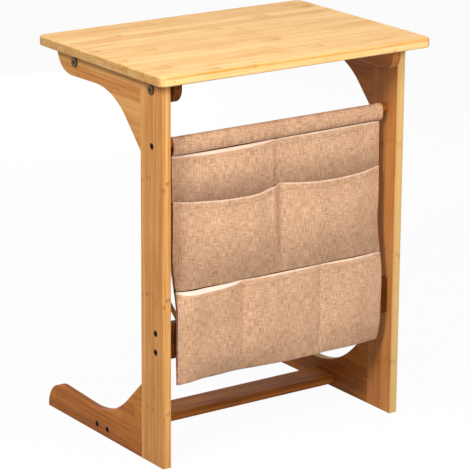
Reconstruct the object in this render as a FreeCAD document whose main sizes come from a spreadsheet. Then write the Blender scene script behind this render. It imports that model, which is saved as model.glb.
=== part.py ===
"""Sofa side table with a hanging magazine bag, as a parametric document.

X runs from the left side frame to the right one, Y from the front to the back and Z up.
The origin is on the floor, in the middle of the footprint. All sizes are in millimetres.
"""
import FreeCAD, Part
import Sketcher
import math
import os

Vector = FreeCAD.Vector
Rotation = FreeCAD.Rotation

# Driving dimensions, each in a cell of its own
SIZES = {
    # Table top
    "top_width": 500,
    "top_depth": 350,
    "top_thickness": 15,
    "table_height": 620,
    "top_corner_radius": 12,
    "top_edge_ease": 1.5,
    # Side frames: an upright with an arm and a foot glued to its back edge
    "panel_inset": 25,
    "panel_thickness": 15,
    "upright_setback": 34,
    "upright_depth": 60,
    "edge_ease": 1.2,
    "arm_reach": 239,
    "arm_depth": 41,
    "arm_nose_radius": 40,
    "arm_waist": 39.5,
    "arm_brace_height": 119,
    "arm_brace_run": 127,
    "arm_brace_radius": 120,
    "foot_reach": 280,
    "foot_depth": 44,
    "foot_nose_radius": 40,
    "foot_waist": 39.5,
    "foot_seam": 45,
    "gusset_butt": 2.5,
    "foot_brace_height": 121.5,
    "foot_brace_run": 146,
    "foot_brace_radius": 150,
    # Battens that carry the top
    "cleat_thickness": 15,
    "cleat_height": 36,
    "cleat_length": 290,
    "cleat_nose_radius": 22,
    "cleat_bolt_spacing": 215,
    # Cross members between the side frames
    "rod_diameter": 15,
    "rod_drop": 104,
    "rail_thickness": 15,
    "rail_height": 56,
    "rail_centre_height": 197,
    "rail_setback": 21,
    "stretcher_thickness": 15,
    "stretcher_width": 50,
    "stretcher_lift": 6,
    "stretcher_setback": 176,
    # Countersunk screws of the cross members
    "screw_head_diameter": 10,
    "screw_head_height": 3,
    "screw_shank_diameter": 6,
    "screw_length": 50,
    "screw_sink": 0.5,
    "screw_socket": 5,
    "rail_screw_spacing": 30,
    "stretcher_screw_spacing": 30,
    # Bolts of the battens
    "bolt_head_diameter": 15,
    "bolt_head_height": 2.4,
    "bolt_diameter": 6,
    "bolt_length": 26,
    "bolt_socket": 4,
    "hole_clearance": 0.2,
    # Cloth bag on the rod
    "bag_side_gap": 17,
    "cloth": 1.6,
    "sleeve_gap": 0.3,
    "sleeve_seam_drop": 17,
    "rail_gap": 0.4,
    "bag_bend_above_rail": 7,
    "bag_bend_height": 153,
    "bag_below_rail": 43,
    "hem_kick": 6,
    # Pockets sewn on the bag
    "upper_mouth_drop": 21,
    "middle_mouth_drop": 96,
    "lower_mouth_rise": 45,
    "lower_middle_pocket": 146,
    "pocket_overlap": 12,
    "pocket_gape": 9,
    "seam_gap": 0.4,
    "mouth_lift": 3.2,
    # Straps that tie the bag to the rail
    "strap_width": 10,
    "strap_thickness": 1.8,
    "strap_run": 16,
    "strap_rise": 25,
    "strap_gap": 0.1,
    "strap_side_inset": 2,
    "strap_above_rail": 1.5,
}

doc = FreeCAD.newDocument("magazine_table")
sheet = doc.addObject("Spreadsheet::Sheet", "Sizes")
for row, (alias, value) in enumerate(SIZES.items(), start=1):
    sheet.set("A%d" % row, alias)
    sheet.set("B%d" % row, str(value))
    sheet.setAlias("B%d" % row, alias)
doc.recompute()

# Places that several pieces share, as expressions on the cells
FRONT = "(-(Sizes.upright_setback + Sizes.upright_depth + Sizes.foot_reach) / 2)"
UNDERSIDE = "(Sizes.table_height - Sizes.top_thickness)"
UPRIGHT_FRONT = "(%s + Sizes.upright_setback)" % FRONT
UPRIGHT_BACK = "(%s + Sizes.upright_depth)" % UPRIGHT_FRONT
OUTER_X = "(Sizes.top_width / 2 - Sizes.panel_inset)"
INNER_X = "(%s - Sizes.panel_thickness)" % OUTER_X
UPRIGHT_MIDDLE = "(%s + Sizes.upright_depth / 2)" % UPRIGHT_FRONT
ROD_Z = "(%s - Sizes.rod_drop)" % UNDERSIDE
RAIL_Y = "(%s + Sizes.rail_setback)" % UPRIGHT_FRONT
STRETCHER_Y = "(%s + Sizes.stretcher_setback)" % UPRIGHT_FRONT
STRETCHER_Z = "(Sizes.stretcher_lift + Sizes.stretcher_thickness / 2)"
BOLT_Z = "(%s - Sizes.cleat_height / 2)" % UNDERSIDE
BRACE_DROP = (
    "(Sizes.foot_waist + Sizes.foot_brace_radius - Sizes.foot_seam - Sizes.gusset_butt)"
)
GUSSET_LENGTH = "(Sizes.foot_brace_run - sqrt(Sizes.foot_brace_radius ^ 2 - %s ^ 2))" % BRACE_DROP
CLEAT_MIDDLE_Y = "(%s + Sizes.cleat_bolt_spacing / 2)" % UPRIGHT_MIDDLE

SIDES = {"left": -1, "right": 1}
nodes = {}


def value(expression):
    """The number that an expression on the cells gives."""
    return float(sheet.evalExpression(expression))


def size(alias):
    """The number in one cell."""
    return value("Sizes." + alias)


def place(thing, x="0", y="0", z="0", rotation=None):
    """Binds a piece's place to the cells."""
    thing.Placement = FreeCAD.Placement(Vector(), rotation or Rotation())
    thing.setExpression("Placement.Base.x", x)
    thing.setExpression("Placement.Base.y", y)
    thing.setExpression("Placement.Base.z", z)


def new_sketch(body, name, role):
    """A sketch on one of the body's own planes."""
    plane = [feature for feature in body.Origin.OriginFeatures if feature.Role == role][0]
    sketch = body.newObject("Sketcher::SketchObject", name)
    sketch.AttachmentSupport = [(plane, "")]
    sketch.MapMode = "FlatFace"
    return sketch


def rule(sketch, kind, *reference):
    """A geometric constraint."""
    sketch.addConstraint(Sketcher.Constraint(kind, *reference))


def measure(sketch, kind, reference, expression):
    """A dimension that follows the cells."""
    number = sketch.addConstraint(Sketcher.Constraint(kind, *reference, value(expression)))
    sketch.setExpression("Constraints[%d]" % number, expression)


def add_line(sketch, start, end):
    """A straight edge between two points given as pairs."""
    return sketch.addGeometry(Part.LineSegment(Vector(*start, 0), Vector(*end, 0)), False)


def add_arc(sketch, centre, radius, start, end):
    """A round edge, counter-clockwise from one point to another."""
    first = math.atan2(start[1] - centre[1], start[0] - centre[0])
    last = math.atan2(end[1] - centre[1], end[0] - centre[0])
    circle = Part.Circle(Vector(*centre, 0), Vector(0, 0, 1), radius)
    return sketch.addGeometry(Part.ArcOfCircle(circle, first, last), False)


def join(sketch, chain):
    """Closes a chain of edges: each entry is an edge, the end that is left and how it meets the next."""
    for here, there in zip(chain, chain[1:] + chain[:1]):
        edge, last, meeting = here
        following, first = there[0], 3 - there[1]
        rule(sketch, meeting, edge, last, following, first)


def rectangle(sketch, width, height):
    """A rectangle from the sketch's origin."""
    w, h = value(width), value(height)
    corners = [(0, 0), (w, 0), (w, h), (0, h)]
    edges = [add_line(sketch, a, b) for a, b in zip(corners, corners[1:] + corners[:1])]
    join(sketch, [(edge, 2, "Coincident") for edge in edges])
    for edge in edges[0::2]:
        rule(sketch, "Horizontal", edge)
    for edge in edges[1::2]:
        rule(sketch, "Vertical", edge)
    rule(sketch, "Coincident", edges[0], 1, -1, 1)
    measure(sketch, "DistanceX", (edges[0], 1, edges[0], 2), width)
    measure(sketch, "DistanceY", (edges[1], 1, edges[1], 2), height)


def pad(body, sketch, length):
    """Thickens a sketch along its normal."""
    feature = body.newObject("PartDesign::Pad", "Pad")
    feature.Profile = sketch
    feature.setExpression("Length", length)
    doc.recompute()
    return feature


def dress_edges(body, feature, kind, width, wanted):
    """A fillet or chamfer on the edges that a test on each edge's middle and direction picks."""
    names = []
    for number, edge in enumerate(feature.Shape.Edges, start=1):
        middle = edge.valueAt((edge.FirstParameter + edge.LastParameter) / 2)
        direction = edge.tangentAt((edge.FirstParameter + edge.LastParameter) / 2)
        if wanted(middle, direction):
            names.append("Edge%d" % number)
    dressing = body.newObject("PartDesign::" + kind, kind)
    dressing.Base = (feature, names)
    dressing.setExpression("Radius" if kind == "Fillet" else "Size", width)
    doc.recompute()
    return dressing


def ease_edges(body, feature, wanted):
    """The small chamfer that takes the sharpness off a board's edges."""
    return dress_edges(body, feature, "Chamfer", "Sizes.edge_ease", wanted)


def near(a, b):
    return abs(a - b) < 1e-4


def cylinder(name, diameter, length, x, y, z, direction):
    """A round bar from a point, along +X, -X, +Y or +Z."""
    turns = {
        "+X": Rotation(Vector(0, 1, 0), 90),
        "-X": Rotation(Vector(0, 1, 0), -90),
        "+Y": Rotation(Vector(1, 0, 0), -90),
        "+Z": Rotation(),
    }
    bar = doc.addObject("Part::Cylinder", name)
    bar.setExpression("Radius", "(%s) / 2" % diameter)
    bar.setExpression("Height", length)
    place(bar, x, y, z, turns[direction])
    return bar


def fuse(name, shapes):
    """Joins the shapes of one drill tool."""
    union = doc.addObject("Part::MultiFuse", name)
    union.Shapes = shapes
    return union


def drilled(label, base, tools):
    """A node: a piece with its holes cut."""
    cut = doc.addObject("Part::Cut", label)
    cut.Base = base
    cut.Tool = tools[0] if len(tools) == 1 else fuse(label + "_holes", tools)
    cut.Label = label
    nodes[label] = cut


def group(label, template, copies):
    """A node of equal fasteners: each copy is a place and a turn."""
    links = []
    for number, (x, y, z, turn) in enumerate(copies):
        link = doc.addObject("App::Link", "%s_%d" % (label, number))
        link.LinkedObject = template
        place(link, x, y, z, turn)
        links.append(link)
    compound = doc.addObject("Part::Compound", label)
    compound.Links = links
    compound.Label = label
    nodes[label] = compound


def new_body(name):
    return doc.addObject("PartDesign::Body", name)


def tangent_point(point, centre, radius, turn):
    """Where a line from a point touches a circle, on the side that the sign of turn gives."""
    dx, dy = point[0] - centre[0], point[1] - centre[1]
    angle = math.atan2(dy, dx) + turn * math.acos(radius / math.hypot(dx, dy))
    return centre[0] + radius * math.cos(angle), centre[1] + radius * math.sin(angle)


def cross_tangent(centre_a, radius_a, centre_b, radius_b, turn):
    """The two ends of the line that passes between two circles and touches both."""
    dx, dy = centre_b[0] - centre_a[0], centre_b[1] - centre_a[1]
    angle = math.atan2(dy, dx) + turn * math.acos((radius_a + radius_b) / math.hypot(dx, dy))
    along = math.cos(angle), math.sin(angle)
    return (
        (centre_a[0] + radius_a * along[0], centre_a[1] + radius_a * along[1]),
        (centre_b[0] - radius_b * along[0], centre_b[1] - radius_b * along[1]),
    )


# Table top: a flat glued-up board with round corners and eased edges
def make_top():
    body = new_body("top_board")
    sketch = new_sketch(body, "TopOutline", "XY_Plane")
    rectangle(sketch, "Sizes.top_width", "Sizes.top_depth")
    board = pad(body, sketch, "Sizes.top_thickness")
    corners = dress_edges(body, board, "Fillet", "Sizes.top_corner_radius", lambda p, d: near(abs(d.z), 1))
    dress_edges(body, corners, "Chamfer", "Sizes.top_edge_ease", lambda p, d: near(d.z, 0))
    place(body, "-Sizes.top_width / 2", FRONT, UNDERSIDE)
    return body


# Upright: the front post of a side frame
def make_upright(side, x):
    body = new_body(side + "_upright_board")
    sketch = new_sketch(body, "UprightOutline", "YZ_Plane")
    rectangle(sketch, "Sizes.upright_depth", UNDERSIDE)
    board = pad(body, sketch, "Sizes.panel_thickness")
    ease_edges(body, board, lambda p, d: near(p.y, 0) and near(abs(d.z), 1))
    place(body, x, UPRIGHT_FRONT)
    return body


# Bracket behind an upright: a straight edge, a round nose, a waist and a brace along the upright.
# The arm lies below its straight edge (flip -1), and the foot above it (flip 1).
def make_bracket(side, prefix, flip, x, z):
    reach = size(prefix + "_reach")
    depth = size(prefix + "_depth")
    waist_depth = size(prefix + "_waist")
    nose_radius = size(prefix + "_nose_radius")
    brace_radius = size(prefix + "_brace_radius")
    nose = (reach - nose_radius, flip * (depth - nose_radius))
    brace = (size(prefix + "_brace_run"), flip * (waist_depth + brace_radius))
    brace_end = (0, flip * size(prefix + "_brace_height"))
    nose_side = (reach, nose[1])
    waist_back, waist_front = cross_tangent(nose, nose_radius, brace, brace_radius, -flip)
    brace_start = tangent_point(brace_end, brace, brace_radius, flip)

    body = new_body("%s_%s_blank" % (side, prefix))
    sketch = new_sketch(body, "BracketOutline", "YZ_Plane")
    edge = add_line(sketch, (0, 0), (reach, 0))
    end = add_line(sketch, (reach, 0), nose_side)
    nose_arc = add_arc(sketch, nose, nose_radius, *(nose_side, waist_back)[::flip])
    waist = add_line(sketch, waist_back, waist_front)
    brace_arc = add_arc(sketch, brace, brace_radius, *(brace_start, waist_front)[::flip])
    brace_line = add_line(sketch, brace_start, brace_end)
    glue_line = add_line(sketch, brace_end, (0, 0))
    nose_exit, brace_exit = (2, 1) if flip > 0 else (1, 2)
    join(sketch, [
        (edge, 2, "Coincident"),
        (end, 2, "Tangent"),
        (nose_arc, nose_exit, "Tangent"),
        (waist, 2, "Tangent"),
        (brace_arc, brace_exit, "Tangent"),
        (brace_line, 2, "Coincident"),
        (glue_line, 2, "Coincident"),
    ])
    rule(sketch, "Horizontal", edge)
    rule(sketch, "Vertical", end)
    rule(sketch, "Vertical", glue_line)
    rule(sketch, "Coincident", edge, 1, -1, 1)
    own = "Sizes." + prefix
    measure(sketch, "DistanceX", (edge, 1, edge, 2), own + "_reach")
    measure(sketch, "Radius", (nose_arc,), own + "_nose_radius")
    measure(sketch, "Radius", (brace_arc,), own + "_brace_radius")
    measure(sketch, "DistanceX", (edge, 1, brace_arc, 3), own + "_brace_run")
    for edge_end, point, height in (
        ((edge, 1), (nose_arc, 3), "{0}_depth - {0}_nose_radius"),
        ((edge, 1), (brace_arc, 3), "{0}_waist + {0}_brace_radius"),
        ((glue_line, 2), (glue_line, 1), "{0}_brace_height"),
    ):
        lower, upper = (edge_end, point)[::flip]
        measure(sketch, "DistanceY", lower + upper, height.format(own))
    board = pad(body, sketch, "Sizes.panel_thickness")
    ease_edges(body, board, lambda p, d: near(d.x, 0) and not near(p.y, 0) and not near(p.z, 0))
    place(body, x, UPRIGHT_BACK, z)
    return body


# The foot bracket is glued up from a board on the floor and a gusset, which ends in a small butt
def split_foot(side, x):
    blank = make_bracket(side, "foot", 1, x, "0")
    stock = doc.addObject("Part::Box", side + "_gusset_stock")
    stock.setExpression("Length", "Sizes.panel_thickness")
    stock.setExpression("Width", GUSSET_LENGTH)
    stock.setExpression("Height", "Sizes.foot_brace_height - Sizes.foot_seam")
    place(stock, x, UPRIGHT_BACK, "Sizes.foot_seam")
    board = doc.addObject("Part::Cut", side + "_foot_board")
    board.Base = blank
    board.Tool = stock
    gusset = doc.addObject("Part::MultiCommon", side + "_gusset_block")
    gusset.Shapes = [blank, stock]
    return board, gusset


# Batten: carries the top on the inner face of a side frame, with both lower corners rounded
def make_cleat(side, x):
    length = size("cleat_length")
    height = size("cleat_height")
    radius = size("cleat_nose_radius")
    body = new_body(side + "_cleat_batten")
    sketch = new_sketch(body, "CleatOutline", "YZ_Plane")
    top = add_line(sketch, (length, height), (0, height))
    front = add_line(sketch, (0, height), (0, radius))
    front_arc = add_arc(sketch, (radius, radius), radius, (0, radius), (radius, 0))
    bottom = add_line(sketch, (radius, 0), (length - radius, 0))
    back_arc = add_arc(sketch, (length - radius, radius), radius, (length - radius, 0), (length, radius))
    back = add_line(sketch, (length, radius), (length, height))
    join(sketch, [
        (top, 2, "Coincident"),
        (front, 2, "Tangent"),
        (front_arc, 2, "Tangent"),
        (bottom, 2, "Tangent"),
        (back_arc, 2, "Tangent"),
        (back, 2, "Coincident"),
    ])
    rule(sketch, "Horizontal", top)
    rule(sketch, "Vertical", front)
    rule(sketch, "Vertical", back)
    rule(sketch, "PointOnObject", bottom, 1, -1)
    rule(sketch, "PointOnObject", front, 1, -2)
    rule(sketch, "Equal", front_arc, back_arc)
    measure(sketch, "DistanceX", (top, 2, top, 1), "Sizes.cleat_length")
    measure(sketch, "DistanceY", (-1, 1, top, 2), "Sizes.cleat_height")
    measure(sketch, "Radius", (front_arc,), "Sizes.cleat_nose_radius")
    board = pad(body, sketch, "Sizes.cleat_thickness")
    ease_edges(body, board, lambda p, d: near(d.x, 0) and not near(p.z, height))
    place(body, x, "%s - Sizes.cleat_length / 2" % CLEAT_MIDDLE_Y, "%s - Sizes.cleat_height" % UNDERSIDE)
    return body


# Cross board: runs between the inner faces of the side frames
def make_cross_board(name, depth, height, y, z):
    body = new_body(name)
    sketch = new_sketch(body, "CrossSection", "YZ_Plane")
    rectangle(sketch, depth, height)
    board = pad(body, sketch, "2 * %s" % INNER_X)
    ease_edges(body, board, lambda p, d: near(abs(d.x), 1))
    place(body, "-%s" % INNER_X, "%s - %s / 2" % (y, depth), "%s - %s / 2" % (z, height))
    return body


# Fasteners are drawn along +Z, with the outer face of the head at zero.
# A countersunk head narrows to the shank, and a flat head has an upright rim.
def make_fastener(name, head, head_height, shank, length, socket, countersunk):
    head_radius, shank_radius = value(head) / 2, value(shank) / 2
    head_depth, tip = value(head_height), value(length)
    rim = [] if countersunk else [(head_radius, head_depth)]
    outline = [(0, 0), (head_radius, 0)] + rim + [(shank_radius, head_depth), (shank_radius, tip), (0, tip)]
    body = new_body(name)
    sketch = new_sketch(body, "FastenerOutline", "XZ_Plane")
    edges = [add_line(sketch, a, b) for a, b in zip(outline, outline[1:] + outline[:1])]
    join(sketch, [(edge, 2, "Coincident") for edge in edges])
    face = edges[0]
    shaft, end, axis = edges[-3:]
    for edge in (face, end):
        rule(sketch, "Horizontal", edge)
    for edge in (shaft, axis):
        rule(sketch, "Vertical", edge)
    if not countersunk:
        rule(sketch, "Vertical", edges[1])
        rule(sketch, "Horizontal", edges[2])
    rule(sketch, "Coincident", face, 1, -1, 1)
    measure(sketch, "DistanceX", (face, 1, face, 2), "%s / 2" % head)
    measure(sketch, "DistanceY", (-1, 1, shaft, 1), head_height)
    measure(sketch, "DistanceX", (end, 2, end, 1), "%s / 2" % shank)
    measure(sketch, "DistanceY", (axis, 2, axis, 1), length)
    turned = body.newObject("PartDesign::Revolution", "Turned")
    turned.Profile = sketch
    turned.ReferenceAxis = (sketch, ["V_Axis"])
    turned.Angle = 360
    doc.recompute()
    cut_socket(body, turned, socket, "%s * 2 / 3" % head_height)
    return body


# Hexagon socket in a fastener's head
def cut_socket(body, turned, across_flats, depth):
    corner = value(across_flats) / math.sqrt(3)
    corners = [
        (corner * math.cos(math.radians(60 * k)), corner * math.sin(math.radians(60 * k))) for k in range(6)
    ]
    sketch = new_sketch(body, "SocketOutline", "XY_Plane")
    edges = [add_line(sketch, a, b) for a, b in zip(corners, corners[1:] + corners[:1])]
    join(sketch, [(edge, 2, "Coincident") for edge in edges])
    guide = sketch.addGeometry(Part.Circle(Vector(), Vector(0, 0, 1), corner), True)
    for edge in edges:
        rule(sketch, "PointOnObject", edge, 1, guide)
    for edge in edges[1:]:
        rule(sketch, "Equal", edges[0], edge)
    rule(sketch, "Coincident", guide, 3, -1, 1)
    rule(sketch, "PointOnObject", edges[0], 1, -1)
    measure(sketch, "Radius", (guide,), "%s / sqrt(3)" % across_flats)
    socket = body.newObject("PartDesign::Pocket", "Socket")
    socket.Profile = sketch
    socket.setExpression("Length", depth)
    socket.Reversed = True
    doc.recompute()
    if socket.Shape.Volume > turned.Shape.Volume - 1:
        raise RuntimeError(body.Name + ": the socket cuts nothing")


def inward(side):
    """The direction from a side frame's outer face towards the middle, and the turn from +Z to it."""
    direction = "+X" if SIDES[side] < 0 else "-X"
    return direction, Rotation(Vector(0, 1, 0), 90 if SIDES[side] < 0 else -90)


def across(side, distance):
    """A place at a distance from the middle, on one side."""
    return distance if SIDES[side] > 0 else "-" + distance


def screw_hole(name, side, y, z):
    """Space for a countersunk screw that is driven in from a side frame's outer face."""
    direction, turn = inward(side)
    x = across(side, OUTER_X)
    slope = "(Sizes.screw_head_diameter - Sizes.screw_shank_diameter) / 2 / Sizes.screw_head_height"
    seat = doc.addObject("Part::Cone", name + "_seat")
    seat.setExpression("Radius1", "Sizes.screw_head_diameter / 2 + Sizes.screw_sink * %s" % slope)
    seat.setExpression("Radius2", "Sizes.screw_shank_diameter / 2")
    seat.setExpression("Height", "Sizes.screw_head_height + Sizes.screw_sink")
    place(seat, x, y, z, turn)
    shank = "Sizes.screw_shank_diameter + Sizes.hole_clearance"
    reach = "Sizes.screw_length + Sizes.screw_sink + Sizes.hole_clearance"
    return fuse(name, [seat, cylinder(name + "_shank", shank, reach, x, y, z, direction)])


# Heights and depths of the fastener rows
SCREW_ROWS = {
    "rod": [(UPRIGHT_MIDDLE, ROD_Z)],
    "rail": [
        (RAIL_Y, "Sizes.rail_centre_height %s Sizes.rail_screw_spacing / 2" % sign) for sign in "+-"
    ],
    "stretcher": [
        ("%s %s Sizes.stretcher_screw_spacing / 2" % (STRETCHER_Y, sign), STRETCHER_Z) for sign in "+-"
    ],
}
BOLT_ROWS = {
    "upright": UPRIGHT_MIDDLE,
    "arm": "(%s + Sizes.cleat_bolt_spacing)" % UPRIGHT_MIDDLE,
}

screw_holes = {}
panel_holes = {}
batten_holes = {}
for side in SIDES:
    direction = inward(side)[0]
    for row, spots in SCREW_ROWS.items():
        screw_holes[side, row] = [
            screw_hole("%s_%s_hole_%d" % (side, row, number), side, y, z)
            for number, (y, z) in enumerate(spots)
        ]
    for row, y in BOLT_ROWS.items():
        panel_holes[side, row] = cylinder(
            "%s_%s_bolt_hole" % (side, row), "Sizes.bolt_diameter + 2 * Sizes.hole_clearance",
            "Sizes.panel_thickness", across(side, OUTER_X), y, BOLT_Z, direction,
        )
        batten_holes[side, row] = cylinder(
            "%s_%s_batten_hole" % (side, row), "Sizes.bolt_diameter + Sizes.hole_clearance",
            "Sizes.bolt_length - Sizes.panel_thickness + Sizes.hole_clearance",
            across(side, INNER_X), y, BOLT_Z, direction,
        )

# Wooden pieces
nodes["table_top"] = make_top()
nodes["table_top"].Label = "table_top"
for side in SIDES:
    panel_x = "-" + OUTER_X if SIDES[side] < 0 else INNER_X
    cleat_x = "-" + INNER_X if SIDES[side] < 0 else "(%s - Sizes.cleat_thickness)" % INNER_X
    drilled(
        side + "_upright", make_upright(side, panel_x),
        screw_holes[side, "rod"] + screw_holes[side, "rail"] + [panel_holes[side, "upright"]],
    )
    drilled(
        side + "_arm", make_bracket(side, "arm", -1, panel_x, UNDERSIDE),
        [panel_holes[side, "arm"]],
    )
    foot_board, gusset_block = split_foot(side, panel_x)
    drilled(side + "_foot", foot_board, screw_holes[side, "stretcher"])
    gusset_block.Label = side + "_foot_gusset"
    nodes[side + "_foot_gusset"] = gusset_block
    drilled(
        side + "_cleat", make_cleat(side, cleat_x),
        [batten_holes[side, row] for row in BOLT_ROWS],
    )

rod = cylinder(
    "rod_bar", "Sizes.rod_diameter", "2 * %s" % INNER_X,
    "-%s" % INNER_X, UPRIGHT_MIDDLE, ROD_Z, "+X",
)
rail = make_cross_board(
    "rail_board", "Sizes.rail_thickness", "Sizes.rail_height", RAIL_Y, "Sizes.rail_centre_height",
)
stretcher = make_cross_board(
    "stretcher_board", "Sizes.stretcher_width", "Sizes.stretcher_thickness", STRETCHER_Y, STRETCHER_Z,
)
for label, row, board in (
    ("bag_rod", "rod", rod),
    ("lower_rail", "rail", rail),
    ("bottom_stretcher", "stretcher", stretcher),
):
    drilled(label, board, [hole for side in SIDES for hole in screw_holes[side, row]])

# Fasteners
screw = make_fastener(
    "countersunk_screw", "Sizes.screw_head_diameter", "Sizes.screw_head_height",
    "Sizes.screw_shank_diameter", "Sizes.screw_length", "Sizes.screw_socket", True,
)
bolt = make_fastener(
    "flat_bolt", "Sizes.bolt_head_diameter", "Sizes.bolt_head_height",
    "Sizes.bolt_diameter", "Sizes.bolt_length + Sizes.bolt_head_height", "Sizes.bolt_socket", False,
)
for row, spots in SCREW_ROWS.items():
    group(row + "_screws", screw, [
        (across(side, "(%s - Sizes.screw_sink)" % OUTER_X), y, z, inward(side)[1])
        for side in SIDES for y, z in spots
    ])
group("cleat_bolts", bolt, [
    (across(side, "(%s + Sizes.bolt_head_height)" % OUTER_X), y, BOLT_Z, inward(side)[1])
    for side in SIDES for y in BOLT_ROWS.values()
])
doc.recompute()

# Cloth bag: hangs from the rod, leans on the rail and kicks back at its hem
rod_y = value(UPRIGHT_MIDDLE)
rod_z = value(ROD_Z)
cloth = size("cloth")
sleeve_inside = size("rod_diameter") / 2 + size("sleeve_gap")
sleeve_outside = sleeve_inside + cloth
bag_half = value(INNER_X) - size("bag_side_gap")
rail_front = value(RAIL_Y) - size("rail_thickness") / 2
rail_top = size("rail_centre_height") + size("rail_height") / 2
rail_bottom = size("rail_centre_height") - size("rail_height") / 2
back_at_rod = rod_y + cloth / 2
back_at_rail = rail_front - size("rail_gap")
bend_bottom = rail_top + size("bag_bend_above_rail")
bend_top = bend_bottom + size("bag_bend_height")
hem_z = rail_bottom - size("bag_below_rail")


def hang(z):
    """Depth of the back of the hanging cloth at a height."""
    if z >= bend_top:
        return back_at_rod
    if z >= bend_bottom:
        share = (z - bend_bottom) / (bend_top - bend_bottom)
        return back_at_rail + (back_at_rod - back_at_rail) * (3 - 2 * share) * share**2
    if z >= rail_bottom:
        return back_at_rail
    return back_at_rail + size("hem_kick") * ((rail_bottom - z) / (rail_bottom - hem_z)) ** 2


def bezier(points):
    curve = Part.BezierCurve()
    curve.setPoles([Vector(0, y, z) for y, z in points])
    return curve.toShape()


def straight(a, b):
    return Part.makeLine(Vector(0, *a), Vector(0, *b))


def arc_over(a, over, b):
    return Part.Arc(Vector(0, *a), Vector(0, *over), Vector(0, *b)).toShape()


def hanging_edges(shift):
    """One side of the hanging cloth from the hem up to the bend above the rail."""
    rail_y, rod_side, kick = back_at_rail - shift, back_at_rod - shift, size("hem_kick")
    third = (bend_top - bend_bottom) / 3
    return [
        bezier([(rail_y + kick, hem_z), (rail_y, (hem_z + rail_bottom) / 2), (rail_y, rail_bottom)]),
        straight((rail_y, rail_bottom), (rail_y, bend_bottom)),
        bezier([
            (rail_y, bend_bottom), (rail_y, bend_bottom + third),
            (rod_side, bend_top - third), (rod_side, bend_top),
        ]),
    ]


# Back of the bag with the sleeve: the cloth parts below the rod, passes round it and is sewn together again
def make_bag_back():
    seam = rod_y, rod_z - size("sleeve_seam_drop")
    front = back_at_rod - cloth
    touches, outer_touches, sewn = [], [], []
    for side, face in ((-1, front), (1, back_at_rod)):
        touch = tangent_point(seam, (rod_y, rod_z), sleeve_inside, side)
        outward = (touch[0] - rod_y) / sleeve_inside, (touch[1] - rod_z) / sleeve_inside
        outer_touch = rod_y + sleeve_outside * outward[0], rod_z + sleeve_outside * outward[1]
        slope = (touch[1] - seam[1]) / (touch[0] - seam[0])
        touches.append(touch)
        outer_touches.append(outer_touch)
        sewn.append((face, outer_touch[1] + slope * (face - outer_touch[0])))
    outline = hanging_edges(cloth) + [
        straight((front, bend_top), sewn[0]),
        straight(sewn[0], outer_touches[0]),
        arc_over(outer_touches[0], (rod_y, rod_z + sleeve_outside), outer_touches[1]),
        straight(outer_touches[1], sewn[1]),
        straight(sewn[1], (back_at_rod, bend_top)),
    ] + hanging_edges(0) + [straight((hang(hem_z), hem_z), (hang(hem_z) - cloth, hem_z))]
    sleeve = [
        straight(seam, touches[0]),
        arc_over(touches[0], (rod_y, rod_z + sleeve_inside), touches[1]),
        straight(touches[1], seam),
    ]
    wires = [Part.Wire(Part.__sortEdges__(edges)) for edges in (outline, sleeve)]
    section = Part.makeFace(wires, "Part::FaceMakerBullseye")
    return section.extrude(Vector(2 * bag_half, 0, 0)), Vector(-bag_half, 0, 0)


# A row of pockets: one strip of cloth, sewn down at its bottom, its ends and between the pockets
def make_pockets(bottom, mouth, seams, lift):
    steps_up = 8
    sections = []
    for station in range(steps_up + 1):
        share = station / steps_up
        rise = (mouth - bottom) * share
        gap = size("seam_gap") + (lift - size("seam_gap")) * share
        gape = size("seam_gap") / 2 + size("pocket_gape") * share
        back = hang(bottom + rise) - cloth - gap
        sections.append(pocket_section(seams, back, gape, rise))
    return Part.makeLoft(sections, True, True), Vector(0, 0, bottom)


def pocket_section(seams, back, gape, z):
    """The closed outline of a pocket strip at one height, with a bow from each seam to the next."""
    def bow(start, end, y):
        middle = Vector((start + end) / 2, y - gape, z)
        return Part.Arc(Vector(start, y, z), middle, Vector(end, y, z)).toShape()

    def end_edge(x, y_first, y_last):
        return Part.makeLine(Vector(x, y_first, z), Vector(x, y_last, z))

    front = back - cloth
    forth = list(zip(seams, seams[1:]))
    edges = [bow(start, end, back) for start, end in forth]
    edges.append(end_edge(seams[-1], back, front))
    edges += [bow(end, start, front) for start, end in reversed(forth)]
    edges.append(end_edge(seams[0], front, back))
    return Part.Wire(edges)


def add_cloth(label, shape, origin):
    """A node of cloth, set at its place."""
    piece = doc.addObject("Part::Feature", label)
    piece.Shape = shape
    piece.Placement = FreeCAD.Placement(origin, Rotation())
    piece.Label = label
    nodes[label] = piece


upper_mouth = rod_z - size("upper_mouth_drop")
middle_mouth = rod_z - size("middle_mouth_drop")
lower_mouth = rail_top + size("lower_mouth_rise")
overlap = size("pocket_overlap")
half_pocket = size("lower_middle_pocket") / 2
two_pockets = [-bag_half, 0, bag_half]
three_pockets = [-bag_half, -half_pocket, half_pocket, bag_half]
add_cloth("bag_back", *make_bag_back())
add_cloth(
    "upper_pockets",
    *make_pockets(middle_mouth - overlap, upper_mouth, two_pockets, size("seam_gap")),
)
add_cloth(
    "middle_pockets",
    *make_pockets(lower_mouth - overlap, middle_mouth, two_pockets, size("mouth_lift")),
)
add_cloth("lower_pockets", *make_pockets(hem_z, lower_mouth, three_pockets, size("mouth_lift")))


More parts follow.
